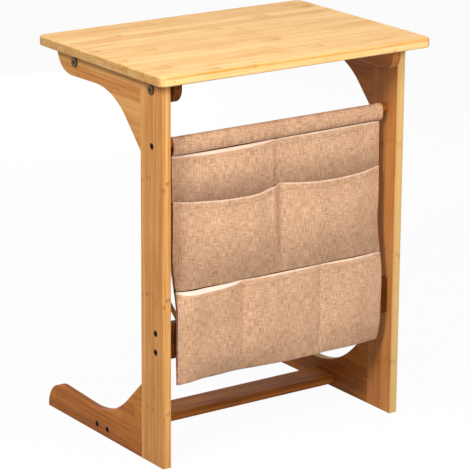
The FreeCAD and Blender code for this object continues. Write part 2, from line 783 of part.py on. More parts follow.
# Strap: a tape that stands on edge, sewn to the back of the bag and open above the rail
def make_strap(side):
    body = new_body(side + "_strap")
    sketch = new_sketch(body, "StrapOutline", "YZ_Plane")
    run, rise, width = size("strap_run"), size("strap_rise"), size("strap_width")
    corners = [(0, 0), (run, rise), (run, rise + width), (0, width)]
    edges = [add_line(sketch, a, b) for a, b in zip(corners, corners[1:] + corners[:1])]
    join(sketch, [(edge, 2, "Coincident") for edge in edges])
    rule(sketch, "Vertical", edges[1])
    rule(sketch, "Vertical", edges[3])
    rule(sketch, "Parallel", edges[0], edges[2])
    rule(sketch, "Coincident", edges[0], 1, -1, 1)
    measure(sketch, "DistanceX", (edges[0], 1, edges[0], 2), "Sizes.strap_run")
    measure(sketch, "DistanceY", (edges[0], 1, edges[0], 2), "Sizes.strap_rise")
    measure(sketch, "DistanceY", (edges[1], 1, edges[1], 2), "Sizes.strap_width")
    pad(body, sketch, "Sizes.strap_thickness")
    outer = "(%s - Sizes.bag_side_gap - Sizes.strap_side_inset)" % INNER_X
    place(
        body,
        "-" + outer if SIDES[side] < 0 else "%s - Sizes.strap_thickness" % outer,
        "%s - Sizes.rail_thickness / 2 - Sizes.rail_gap + Sizes.strap_gap" % RAIL_Y,
        "Sizes.rail_centre_height + Sizes.rail_height / 2 + Sizes.strap_above_rail",
    )
    body.Label = side + "_strap"
    nodes[side + "_strap"] = body


for side in SIDES:
    make_strap(side)
doc.recompute()

# Every object has to be sound before anything is written
for thing in doc.Objects:
    if "Invalid" in thing.State or "Error" in thing.State:
        raise RuntimeError("%s failed: %s" % (thing.Label, thing.State))
for label, node in nodes.items():
    if node.Shape.isNull() or not node.Shape.isValid():
        raise RuntimeError(label + " has no sound shape")

os.makedirs("parts", exist_ok=True)
for label, node in nodes.items():
    node.Shape.exportStep("parts/%s.step" % label)
    print("%-20s %d solids %10.1f mm3" % (label, len(node.Shape.Solids), node.Shape.Volume))
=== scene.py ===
"""Finishes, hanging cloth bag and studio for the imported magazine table."""

import math
from collections import namedtuple

import bmesh
import bpy
from bpy.props import EnumProperty, FloatProperty, FloatVectorProperty, PointerProperty
from mathutils import Matrix, Vector, noise


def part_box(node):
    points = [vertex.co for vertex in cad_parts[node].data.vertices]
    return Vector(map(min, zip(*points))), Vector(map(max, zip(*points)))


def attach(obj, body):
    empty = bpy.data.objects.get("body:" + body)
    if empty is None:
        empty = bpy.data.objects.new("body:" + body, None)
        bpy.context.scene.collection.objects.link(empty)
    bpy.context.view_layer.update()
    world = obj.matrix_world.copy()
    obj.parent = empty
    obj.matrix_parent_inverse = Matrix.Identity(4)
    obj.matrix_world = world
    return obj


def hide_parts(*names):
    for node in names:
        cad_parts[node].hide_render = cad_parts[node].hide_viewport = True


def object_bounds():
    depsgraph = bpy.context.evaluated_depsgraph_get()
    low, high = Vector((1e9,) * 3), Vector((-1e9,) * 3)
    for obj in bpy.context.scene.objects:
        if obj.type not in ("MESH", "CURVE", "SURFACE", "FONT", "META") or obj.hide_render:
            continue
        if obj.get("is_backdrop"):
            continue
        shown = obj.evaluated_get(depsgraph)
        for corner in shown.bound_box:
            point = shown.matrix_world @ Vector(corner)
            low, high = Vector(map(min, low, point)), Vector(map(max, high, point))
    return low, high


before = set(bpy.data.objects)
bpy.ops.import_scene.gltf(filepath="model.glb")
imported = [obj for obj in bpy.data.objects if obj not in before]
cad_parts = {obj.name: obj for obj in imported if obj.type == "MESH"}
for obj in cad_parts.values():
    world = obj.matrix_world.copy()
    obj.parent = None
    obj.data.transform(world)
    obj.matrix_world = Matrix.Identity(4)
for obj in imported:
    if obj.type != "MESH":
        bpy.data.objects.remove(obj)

bl_info = {
    "name": "Magazine Table",
    "version": (1, 0, 0),
    "blender": (4, 5, 0),
    "location": "View3D > Sidebar > Table",
    "description": "Dresses a bamboo sofa table, hangs its cloth magazine bag and lights it",
    "category": "Object",
}

CAD_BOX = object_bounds()


def srgb(red, green, blue):
    """A colour given as screen values from 0 to 255, as the linear values that shaders take."""
    shares = [channel / 255 for channel in (red, green, blue)]
    return tuple(s / 12.92 if s <= 0.04045 else ((s + 0.055) / 1.055) ** 2.4 for s in shares)


def ease(share):
    """Goes from 0 to 1 with a soft start and end."""
    share = min(max(share, 0.0), 1.0)
    return share * share * (3 - 2 * share)


def soft_edge(past, width):
    """Goes from 0 to 1 across an edge of some width."""
    return ease(past / width + 0.5)


def swell(x, middle, reach):
    """A soft hill of height 1 round a place."""
    return math.exp(-(((x - middle) / reach) ** 2))


def metres(name, description, default):
    """A length."""
    return FloatProperty(name=name, description=description, default=default, unit="LENGTH")


def angle(name, description, degrees):
    """An angle, given in degrees."""
    return FloatProperty(name=name, description=description, default=math.radians(degrees), subtype="ANGLE")


def watts(name, description, default):
    """A lamp's power."""
    return FloatProperty(name=name, description=description, default=default, min=0)


def paint(name, description, default):
    """A colour, as linear values."""
    return FloatVectorProperty(
        name=name, description=description, default=default, subtype="COLOR", size=3, min=0, max=1
    )


# Sizes and colours

class BambooLook(bpy.types.PropertyGroup):
    """Strips, grain and colours of the bamboo boards."""

    strip: metres("Strip", "Width of a glued strip", 0.0222)
    ply: metres("Ply", "Thickness of one layer of strips", 0.005)
    block: metres("Foot block", "Length of the pieces that the feet are glued up from", 0.085)
    top_knuckles: metres("Top knuckles", "Distance between the cane's knuckles in the top", 0.275)
    frame_knuckles: metres("Frame knuckles", "Distance between the cane's knuckles in the frame", 0.181)
    top_pale: paint("Top, pale", "Palest strips of the top", srgb(248, 208, 140))
    top_deep: paint("Top, deep", "Deepest strips of the top", srgb(222, 158, 78))
    frame_pale: paint("Frame, pale", "Palest strips of the frame", srgb(232, 172, 100))
    frame_deep: paint("Frame, deep", "Deepest strips of the frame", srgb(194, 122, 54))
    # Painted shade: a darker copy of the frame's strips for the right frame and the right batten, whose
    # inner faces lie in shade
    shaded_right_pale: paint("Right frame, pale", "Palest strips of the shade_darkened right frame", srgb(206, 139, 73))
    shaded_right_deep: paint("Right frame, deep", "Deepest strips of the shade_darkened right frame", srgb(174, 98, 37))
    # Partly painted light: the boards' pale outer strips, and where a cut gives a strong share, light
    # painted on faces turned to the lamps
    edge: paint("Edge", "Pale outer strips that show on a board's long edges", srgb(236, 208, 140))
    gusset_pale: paint("Gusset, pale", "Palest strips of the foot gussets", srgb(216, 140, 66))
    gusset_deep: paint("Gusset, deep", "Deepest strips of the foot gussets", srgb(172, 100, 38))
    foot_pale: paint("Foot, pale", "Palest strips of the feet", srgb(206, 126, 54))
    foot_deep: paint("Foot, deep", "Deepest strips of the feet", srgb(156, 86, 30))
    # Partly painted shade: the stretcher's own deeper tone, and darker strips that stand in for the shade
    # the rod and stretcher lie in
    cross_pale: paint(
        "Cross members, pale", "Palest strips of the rod and the stretcher", srgb(168, 102, 44)
    )
    cross_deep: paint(
        "Cross members, deep", "Deepest strips of the rod and the stretcher", srgb(114, 61, 22)
    )
    # Painted shade: near-black strips that stand in for the shadow the rail and the left batten lie in
    shaded_rail_pale: paint("Rail, pale", "Palest strips of the rail and the left batten", srgb(112, 58, 20))
    shaded_rail_deep: paint("Rail, deep", "Deepest strips of the rail and the left batten", srgb(62, 28, 9))
    knuckle: paint("Knuckle", "Brown of the cane's knuckles", srgb(132, 72, 28))
    top_knuckle: paint("Top knuckle", "Amber of the knuckles in the top", srgb(206, 138, 54))


class BagLook(bpy.types.PropertyGroup):
    """Thicknesses, hems and colours of the cloth bag."""

    cloth: metres("Cloth", "Thickness of one layer of cloth", 0.0011)
    hem: metres("Hem", "Thickness where the cloth is folded over", 0.0016)
    mouth_hem: metres("Mouth hem", "Height of the folded band along a mouth", 0.009)
    side_hem: metres("Side hem", "Width of the folded band along the sides", 0.007)
    sleeve_gap: metres("Sleeve gap", "Room between rod and sleeve", 0.0003)
    seam_drop: metres("Seam drop", "From the rod's axis down to the sleeve's seam", 0.017)
    flap: metres("Flap", "How far the sleeve's front stands before the panel at the seam", 0.0036)
    slide: metres("Slide", "How far the sleeve has slid along the rod", 0.0036)
    stretch: metres("Stretch", "How far the cloth has grown past its cut width on each side", 0.0013)
    tilt: metres("Tilt", "How much higher the seam lies at the right end", 0.0013)
    inset: metres("Inset", "From the back's edges to the edges of the pockets", 0.0020)
    offset: metres("Offset", "How far left of the back's middle the pockets are sewn", 0.0013)
    rail_gap: metres("Rail gap", "Room between the rail and the cloth", 0.0004)
    bend_above: metres("Bend above rail", "Where the cloth starts to lean back above the rail", 0.007)
    bend_height: metres("Bend height", "Height of the stretch that leans", 0.15)
    hem_kick: metres("Hem kick", "How far the hem swings back under the rail", 0.0035)
    seam_gap: metres("Seam gap", "Room between two layers at a seam", 0.0004)
    crease: metres("Crease", "Height of the soft creases", 0.0012)
    thread: metres("Thread pitch", "Distance between two threads of the weave", 0.0011)
    stitch: metres("Stitch", "Length of one stitch with its gap", 0.0036)
    stitch_thickness: metres("Sewing thread", "Thickness of the sewing thread", 0.0007)
    tape_cut: metres("Tape cut", "Upright length of the straps' slanted ends", 0.014)
    tape_climb: metres("Tape climb", "How far the straps climb", 0.0152)
    pale: paint("Pale thread", "Palest threads of the cloth", srgb(231, 190, 155))
    deep: paint("Deep thread", "Deepest threads of the cloth", srgb(182, 134, 100))
    sewing: paint("Sewing thread colour", "Colour of the stitches", srgb(216, 178, 142))
    # Painted shadow: a near-black brown laid on the narrow gaps under the sleeve and between the middle and
    # lower rows
    painted_gap_shadow: paint("Sunk cloth", "Colour of the cloth deep in the seams", srgb(56, 34, 22))
    # Painted highlight: a pale colour on the up-turned lips of the mouths and on the sleeve's fold, where
    # light falls on them
    lip: paint("Lip", "Colour of the cloth's inside along the mouths", srgb(246, 224, 206))
    # Painted light: the straps' colour is paler than their own, to stand in for the light the upright's
    # shadow takes from them
    tape: paint("Tape", "Colour of the straps", srgb(228, 206, 166))


class StudioLook(bpy.types.PropertyGroup):
    """Camera, lamps and floor."""

    lens: FloatProperty(
        name="Lens", description="Focal length in millimetres", default=199.0, min=20, max=400
    )
    azimuth: angle("Azimuth", "Camera's angle round the table", -34.777)
    elevation: angle("Elevation", "Camera's angle above the horizon", 16.688)
    roll: angle("Roll", "Camera's turn about its own axis", 0.373)
    distance: metres("Distance", "From the camera to the point it looks at", 4.0984)
    look_at: FloatVectorProperty(
        name="Look at", description="The point in the middle of the picture",
        default=(0.00195, -0.0134, 0.2999), subtype="TRANSLATION", size=3,
    )
    overhead: watts("Overhead", "Power of the lamp above, in watts", 9.6)
    front: watts("Front", "Power of the lamp in front, in watts", 45.5)
    side: watts("Side", "Power of the lamp on the left, in watts", 51.0)
    back: watts("Back", "Power of the lamp behind, in watts", 14.0)
    ambient: FloatProperty(
        name="Ambient", description="Strength of the light from all round", default=0.15, min=0
    )
    floor: paint("Floor", "Colour of the floor", (0.9, 0.9, 0.9))
    bounce: paint("Floor bounce", "Colour of the light that the floor throws back", (0.3, 0.29, 0.28))
    floor_white: FloatProperty(
        name="Floor whiteness", description="Share of plain white that the camera sees in the floor",
        default=0.95, min=0, max=1, subtype="FACTOR",
    )


# Shader nodes

NOISE_MIDDLE = 0.5


class Wire:
    """One output of a shader node, with arithmetic that adds Math nodes."""

    def __init__(self, shader, socket):
        self.shader = shader
        self.socket = socket

    def other(self, output):
        """Another output of the same node."""
        return Wire(self.shader, self.socket.node.outputs[output])

    def __add__(self, other):
        return self.shader.math("ADD", self, other)

    def __radd__(self, other):
        return self.shader.math("ADD", other, self)

    def __sub__(self, other):
        return self.shader.math("SUBTRACT", self, other)

    def __rsub__(self, other):
        return self.shader.math("SUBTRACT", other, self)

    def __mul__(self, other):
        return self.shader.math("MULTIPLY", self, other)

    def __rmul__(self, other):
        return self.shader.math("MULTIPLY", other, self)

    def __truediv__(self, other):
        return self.shader.math("DIVIDE", self, other)


class Shader:
    """A material or world and the nodes that make it."""

    def __init__(self, owner):
        self.owner = owner
        owner.use_nodes = True
        self.tree = owner.node_tree
        self.tree.nodes.clear()

    def node(self, kind, settings=None, inputs=None, output=0):
        """Adds a node: its settings first, then the values or links of its sockets."""
        made = self.tree.nodes.new(kind)
        for key, setting in (settings or {}).items():
            setattr(made, key, setting)
        for key, given in (inputs or {}).items():
            if isinstance(given, Wire):
                self.tree.links.new(given.socket, made.inputs[key])
            else:
                made.inputs[key].default_value = given
        return Wire(self, made.outputs[output] if made.outputs else None)

    def math(self, operation, *values):
        return self.node("ShaderNodeMath", {"operation": operation}, dict(enumerate(values)))

    def step(self, value, low, high):
        """Rises softly from 0 to 1 between two values."""
        return self.node(
            "ShaderNodeMapRange",
            {"interpolation_type": "SMOOTHSTEP"},
            {"Value": value, "From Min": low, "From Max": high},
        )

    def mix(self, factor, first, second):
        """A colour between two colours."""
        colour_sockets = {0: factor, 6: first, 7: second}
        return self.node("ShaderNodeMix", {"data_type": "RGBA"}, colour_sockets, output=2)

    def vector(self, x, y, z):
        return self.node("ShaderNodeCombineXYZ", inputs={0: x, 1: y, 2: z})

    def limit(self, value):
        """A value held between 0 and 1."""
        return self.math("MINIMUM", self.math("MAXIMUM", value, 0.0), 1.0)

    def noise(self, place, detail):
        inputs = {"Vector": place, "Scale": 1.0, "Detail": detail, "Roughness": 0.6}
        return self.node("ShaderNodeTexNoise", inputs=inputs)

    def speckle(self, scale, detail):
        """Noise of some fineness that stays with the object."""
        place = self.node("ShaderNodeTexCoord", output="Object")
        scaled = self.node("ShaderNodeVectorMath", {"operation": "SCALE"}, {0: place, "Scale": scale})
        return self.noise(scaled, detail)

    def weighted(self, *parts):
        """The sum of some noises, each taken from its middle and given a weight."""
        total = 0.0
        for part, weight in parts:
            total = total + (part - NOISE_MIDDLE) * weight
        return total

    def bump(self, height, strength, distance):
        inputs = {"Height": height, "Strength": strength, "Distance": distance}
        return self.node("ShaderNodeBump", inputs=inputs)

    def backdrop_rays(self):
        """1 for the rays that show the backdrop itself: straight, in a gloss or through glass."""
        straight = self.node("ShaderNodeLightPath", output="Is Camera Ray")
        shown = straight + straight.other("Is Glossy Ray") + straight.other("Is Transmission Ray")
        return self.math("MINIMUM", shown, 1.0)

    def surface(self, inputs):
        """Ends the material in a Principled surface."""
        shaded = self.node("ShaderNodeBsdfPrincipled", inputs=inputs)
        self.node("ShaderNodeOutputMaterial", inputs={"Surface": shaded})
        return self.owner


def opaque(colour):
    """A colour with its alpha, as sockets take it."""
    return (*colour, 1.0)


def new_shader(name):
    return Shader(bpy.data.materials.new(name))


# Bamboo

Cut = namedtuple("Cut", "pale deep mark knuckles offset scatter ramp strength joint blocks edge gloss")
Grain = namedtuple("Grain", "length width detail")

# Noises along the grain, with the length and width of a streak
BROAD = Grain(0.25, 0.005, detail=2)
LINES = Grain(0.16, 0.0022, detail=1)
FINE = Grain(0.03, 0.0012, detail=3)
WAVER = Grain(0.02, 0.012, detail=1)
CLOUD = Grain(0.07, 0.025, detail=2)
PATCHY = Grain(0.09, 0.006, detail=1)
PORES = Grain(0.01, 0.0012, detail=1)
# Weights of the noises in the tone
BROAD_WEIGHT = 1.4
LINES_WEIGHT = 1.2
FINE_WEIGHT = 0.9
CLOUD_WEIGHT = 0.6
# Strips and layers, and the chances that set them apart
FIRST_STRIP = 100
FIRST_LAYER = 0.02
STRIP_SEED = 1.7
BLOCK_SEED = 2.3
STRIP_SHIFT = 3.0
PALEST_TONE = 0.15
STRIP_TONES = 0.55
# Marks at the knuckles, and end grain
WAVER_LENGTH = 0.004
BAND_WIDTH = 0.005
MARK_END = 0.004
LEAST_MARK = 0.3
RAMP_DEPTH = 0.7
LEAST_BAND = 0.4
BAND_CLOUD = 0.6
LEAST_END = 0.12
PORE_DEPTH = 0.4
# Relief and lacquer
FINE_RELIEF = 0.5
JOINT_RELIEF = 0.6
BAND_RELIEF = 0.1
LACQUER_ROUGHNESS = 0.42
FINE_ROUGHNESS = 0.14
END_ROUGHNESS = 0.15
COAT_SHARE = 0.24


def bamboo(name, grain, side, cut, look):
    """Lacquered board of glued strips that run along one axis and lie side by side along another."""
    shader = new_shader(name)
    place = shader.node("ShaderNodeTexCoord", output="Object")
    facing = shader.node("ShaderNodeSeparateXYZ", inputs={0: place.other("Normal")})
    axes = shader.node("ShaderNodeSeparateXYZ", inputs={0: place})
    through = "XYZ".replace(grain, "").replace(side, "")
    along, across, depth = (axes.other(axis) for axis in (grain, side, through))

    def chances(first, second, third):
        """Three random shares for a cell."""
        cell = shader.vector(first, second, third)
        drawn = shader.node("ShaderNodeTexWhiteNoise", {"noise_dimensions": "3D"}, {"Vector": cell})
        parts = shader.node("ShaderNodeSeparateColor", inputs={0: drawn.other("Color")})
        return [parts.other(k) for k in range(3)]

    strip_share = across / look.strip + FIRST_STRIP + cut.offset
    strip_number = shader.math("FLOOR", strip_share)
    layer_number = shader.math("FLOOR", depth / look.ply + FIRST_LAYER)
    tone, phase, shift = chances(strip_number, layer_number, len(name) * STRIP_SEED)
    block_number = shader.math("FLOOR", along / look.block + phase)
    block_tone = chances(strip_number, block_number, len(name) * BLOCK_SEED)[0]

    def streaks(texture, start):
        """Noise drawn out along the grain."""
        spot = shader.vector(start / texture.length, across / texture.width, depth / texture.width)
        return shader.noise(spot, texture.detail)

    shifted = along + shift * STRIP_SHIFT
    broad, lines, fine, waver = (streaks(texture, shifted) for texture in (BROAD, LINES, FINE, WAVER))
    cloud, patchy, pores = (streaks(texture, along) for texture in (CLOUD, PATCHY, PORES))

    knuckle_share = shader.math("FRACT", along / cut.knuckles + phase * cut.scatter)
    past = (knuckle_share - 0.5) * cut.knuckles + (waver - NOISE_MIDDLE) * WAVER_LENGTH
    marked = cut.strength * shader.step(patchy, low=0.36, high=0.62) * (LEAST_MARK + shift)
    band = marked * (1 - shader.step(shader.math("ABSOLUTE", past), low=0.0, high=BAND_WIDTH))
    before = shader.step(past, low=-cut.ramp, high=0.0)
    ramp = marked * before * (1 - shader.step(past, low=0.0, high=MARK_END))

    from_middle = shader.math("ABSOLUTE", shader.math("FRACT", strip_share) - 0.5)
    joint = shader.step(from_middle, low=0.45, high=0.5)
    end_grain, long_edge = (
        shader.step(shader.math("ABSOLUTE", facing.other(axis)), low=0.6, high=0.95)
        for axis in (grain, side)
    )

    streaked = shader.weighted(
        (broad, BROAD_WEIGHT), (lines, LINES_WEIGHT), (fine, FINE_WEIGHT), (cloud, CLOUD_WEIGHT)
    )
    depth_of_tone = PALEST_TONE + tone * STRIP_TONES + block_tone * cut.blocks + streaked
    colour = shader.mix(shader.limit(depth_of_tone), opaque(cut.pale), opaque(cut.deep))
    # Pale outer strips on the long-edge faces; a strong edge share paints light on those faces
    colour = shader.mix(long_edge * cut.edge, colour, opaque(look.edge))
    colour = shader.mix(ramp * ramp * RAMP_DEPTH, colour, opaque(cut.mark))
    colour = shader.mix(band * (LEAST_BAND + cloud * BAND_CLOUD), colour, opaque(cut.mark))
    colour = shader.mix(joint * cut.joint, colour, opaque(look.knuckle))
    colour = shader.mix(end_grain * (LEAST_END + pores * PORE_DEPTH), colour, opaque(look.knuckle))

    height = fine * FINE_RELIEF - joint * JOINT_RELIEF + band * BAND_RELIEF
    return shader.surface({
        "Base Color": colour,
        "Roughness": LACQUER_ROUGHNESS + fine * FINE_ROUGHNESS + end_grain * END_ROUGHNESS,
        "Specular IOR Level": cut.gloss,
        "Coat Weight": cut.gloss * COAT_SHARE,
        "Coat Roughness": 0.25,
        "Normal": shader.bump(height, strength=0.25, distance=0.0002),
    })


# Metal and cloth

Yarn = namedtuple("Yarn", "across up slice weight")

# Uneven yarns, with the size of their patches across and up the cloth; the last gives broad bands of
# painted shade that stand in for the shading of long folds
WEFT = Yarn(0.013, 0.0010, slice=3.0, weight=2.1)
WARP = Yarn(0.0010, 0.014, slice=8.0, weight=2.4)
HEATHER = Yarn(0.0008, 0.0008, slice=1.0, weight=1.2)
PAINTED_FOLD_SHADE = Yarn(0.035, 0.12, slice=6.0, weight=0.45)
# Tone and relief of the weave, how far the painted gap shadow reaches round towards faces turned away, and
# wear of the metal
MIDDLE_TONE = 0.5
CROSSING_TONE = 0.1
CROSSING_RELIEF = 0.5
YARN_RELIEF = 0.6
TURNED_AWAY = 0.3
WEAR = 0.2


def metal(name, colour, roughness):
    """Plated steel with fine wear."""
    shader = new_shader(name)
    wear = shader.speckle(scale=900.0, detail=2)
    return shader.surface({
        "Base Color": opaque(colour),
        "Metallic": 1.0,
        "Roughness": roughness + (wear - NOISE_MIDDLE) * WEAR,
    })


def linen(name, pale, deep, look):
    """Plain weave with uneven threads, on the cloth's flat size in metres."""
    shader = new_shader(name)
    place = shader.node("ShaderNodeTexCoord", output="UV")
    flat = shader.node("ShaderNodeSeparateXYZ", inputs={0: place})
    across, up = flat.other(0), flat.other(1)

    def uneven(yarn):
        return shader.noise(shader.vector(across / yarn.across, up / yarn.up, yarn.slice), detail=1)

    weft, warp, heather, painted_fold_shade = (uneven(yarn) for yarn in (WEFT, WARP, HEATHER, PAINTED_FOLD_SHADE))
    turn = math.pi / look.thread
    crossing = shader.math("SINE", across * turn) * shader.math("SINE", up * turn)

    threads = shader.weighted(
        (weft, WEFT.weight), (warp, WARP.weight), (heather, HEATHER.weight), (painted_fold_shade, PAINTED_FOLD_SHADE.weight)
    )
    depth_of_tone = threads + crossing * CROSSING_TONE + MIDDLE_TONE
    lip = shader.node("ShaderNodeAttribute", {"attribute_name": "lip"}, output="Fac")
    # Painted highlight on the lips, from the positive values of the attribute
    painted_lip_highlight = shader.math("MAXIMUM", lip, 0.0)
    facing = shader.node("ShaderNodeSeparateXYZ", inputs={0: place.other("Normal")}).other("Y")
    to_front = 1 - shader.step(facing, low=-TURNED_AWAY, high=TURNED_AWAY)
    # Painted shadow in the narrow gaps, kept to faces turned to the front
    painted_gap_shadow = shader.math("MAXIMUM", 0.0 - lip, 0.0) * to_front
    colour = shader.mix(shader.limit(depth_of_tone), opaque(pale), opaque(deep))
    colour = shader.mix(painted_gap_shadow, colour, opaque(look.painted_gap_shadow))
    height = crossing * CROSSING_RELIEF + weft * YARN_RELIEF + warp * YARN_RELIEF
    return shader.surface({
        "Base Color": shader.mix(painted_lip_highlight, colour, opaque(look.lip)),
        "Roughness": 0.92,
        "Sheen Weight": 0.05,
        "Specular IOR Level": 0.2,
        "Normal": shader.bump(height, strength=0.5, distance=0.0005),
    })


# Shape of the hanging cloth

Pocket = namedtuple("Pocket", "start end bulge pouch gape ledge sag peak")
Row = namedtuple("Row", "node raised lift foot fullest pockets")
Wave = namedtuple("Wave", "middle reach height")
Crease = namedtuple("Crease", "across up slice height")

# The bag's side edges and the seams between its pockets
SIDE = 0.193
UPPER_SEAM = -0.007
MIDDLE_SEAM = 0.001
LOWER_LEFT_SEAM = -0.072
LOWER_RIGHT_SEAM = 0.073

ROWS = {
    "UPPER": Row("upper_pockets", raised=0.0005, lift=0.0006, foot=0.0, fullest=0.5, pockets=(
        Pocket(-SIDE, UPPER_SEAM, bulge=0.0015, pouch=0.0055, gape=0.0046,
               ledge=0.0028, sag=0.0008, peak=0.6),
        Pocket(UPPER_SEAM, SIDE, bulge=0.0015, pouch=0.0030, gape=0.0014,
               ledge=0.0012, sag=0.0, peak=0.5),
    )),
    "MIDDLE": Row("middle_pockets", raised=0.0070, lift=0.0036, foot=0.0026, fullest=0.6, pockets=(
        Pocket(-SIDE, MIDDLE_SEAM, bulge=0.0075, pouch=0.0065, gape=0.0008,
               ledge=0.0010, sag=0.0105, peak=0.66),
        Pocket(MIDDLE_SEAM, SIDE, bulge=0.0060, pouch=0.0050, gape=0.0008,
               ledge=0.0010, sag=0.0085, peak=0.55),
    )),
    "LOWER": Row("lower_pockets", raised=0.0020, lift=0.0006, foot=0.0, fullest=0.4, pockets=(
        Pocket(-SIDE, LOWER_LEFT_SEAM, bulge=0.0020, pouch=0.0050, gape=0.0070,
               ledge=0.0040, sag=0.0010, peak=0.3),
        Pocket(LOWER_LEFT_SEAM, LOWER_RIGHT_SEAM, bulge=0.0020, pouch=0.0060, gape=0.0022,
               ledge=0.0014, sag=0.0006, peak=0.5),
        Pocket(LOWER_RIGHT_SEAM, SIDE, bulge=0.0020, pouch=0.0060, gape=0.0022,
               ledge=0.0014, sag=0.0006, peak=0.4),
    )),
}
# Shares of the flat length where the panel, the flap, the loose front and the turn over the rod end
SLEEVE_SHARES = (0.849, 0.861, 0.899, 0.964)
# Waves of the bottom edge, its swing back under the rail, and the long folds
HEM_WAVES = (
    Wave(-0.160, 0.050, 0.0015),
    Wave(0.020, 0.050, -0.0012),
)
KICKS = (
    Wave(-SIDE, 0.030, -0.0050),
    Wave(-0.080, 0.055, 0.0080),
    Wave(SIDE, 0.050, 0.0050),
)
FOLDS = (
    Wave(-0.165, 0.016, 0.0024),
    Wave(-0.105, 0.028, 0.0016),
    Wave(-0.048, 0.018, 0.0020),
    Wave(0.060, 0.030, 0.0012),
    Wave(0.150, 0.026, 0.0018),
)
# Creases, and the tuck down the middle
CREASES = (
    Crease(16, 5, slice=0, height=1.0),
    Crease(38, 14, slice=5, height=0.5),
)
RIPPLE = Crease(30, 11, slice=9, height=0.0006)
CREASE_MIDDLE = 0.9
FREE_BELOW_SEAM = 0.08
TUCK = Wave(-0.010, 0.006, 0.0026)
TUCK_BOTTOM = 0.29
TUCK_RISE = 0.1
TUCK_END = 0.02
# The panel's bend along its side edges, its hem and the middle row's foot
EDGE_BEND = 0.35
EDGE_POWER = 8
HEM_DROP = 0.043
MIDDLE_ABOVE_LOWER = 0.0024
# Where the sleeve meets and leaves the rod, as angles, and its slack in front
FRONT_TOUCH = math.pi - 0.1
BACK_TOUCH = -0.476
LOW_SLACK = Vector((-0.0055, 0.003))
HIGH_SLACK = 0.007
# How the pockets open
LEAST_LEDGE = 0.001
LEDGE_POWER = 0.6
GAPE_DROP = 0.07
GAPE_POWER = 0.7
POUCH_POWER = 0.5
# Painted highlight along the lips, painted shade behind a row and painted shadow in the deep seams
LEAST_LIP = 0.25
WIDE_GAPE = 0.012
LIP_EDGE = 0.001
SHADED_SHARE = 0.75
SHADE_DEPTH = 0.32
FAR_BELOW = 1.0
PAINTED_GAP_SHADOW_EDGE = 0.001
# Soft edges of the folded bands
SIDE_HEM_EDGE = 0.002
HEM_EDGE = 0.0015


def heights(waves, x):
    """Sum of some waves at a place."""
    return sum(wave.height * swell(x, wave.middle, wave.reach) for wave in waves)


def crumpled(crease, x, z):
    """Soft noise from -1 to 1 on the cloth."""
    return noise.noise(Vector((x * crease.across, crease.slice, z * crease.up)))


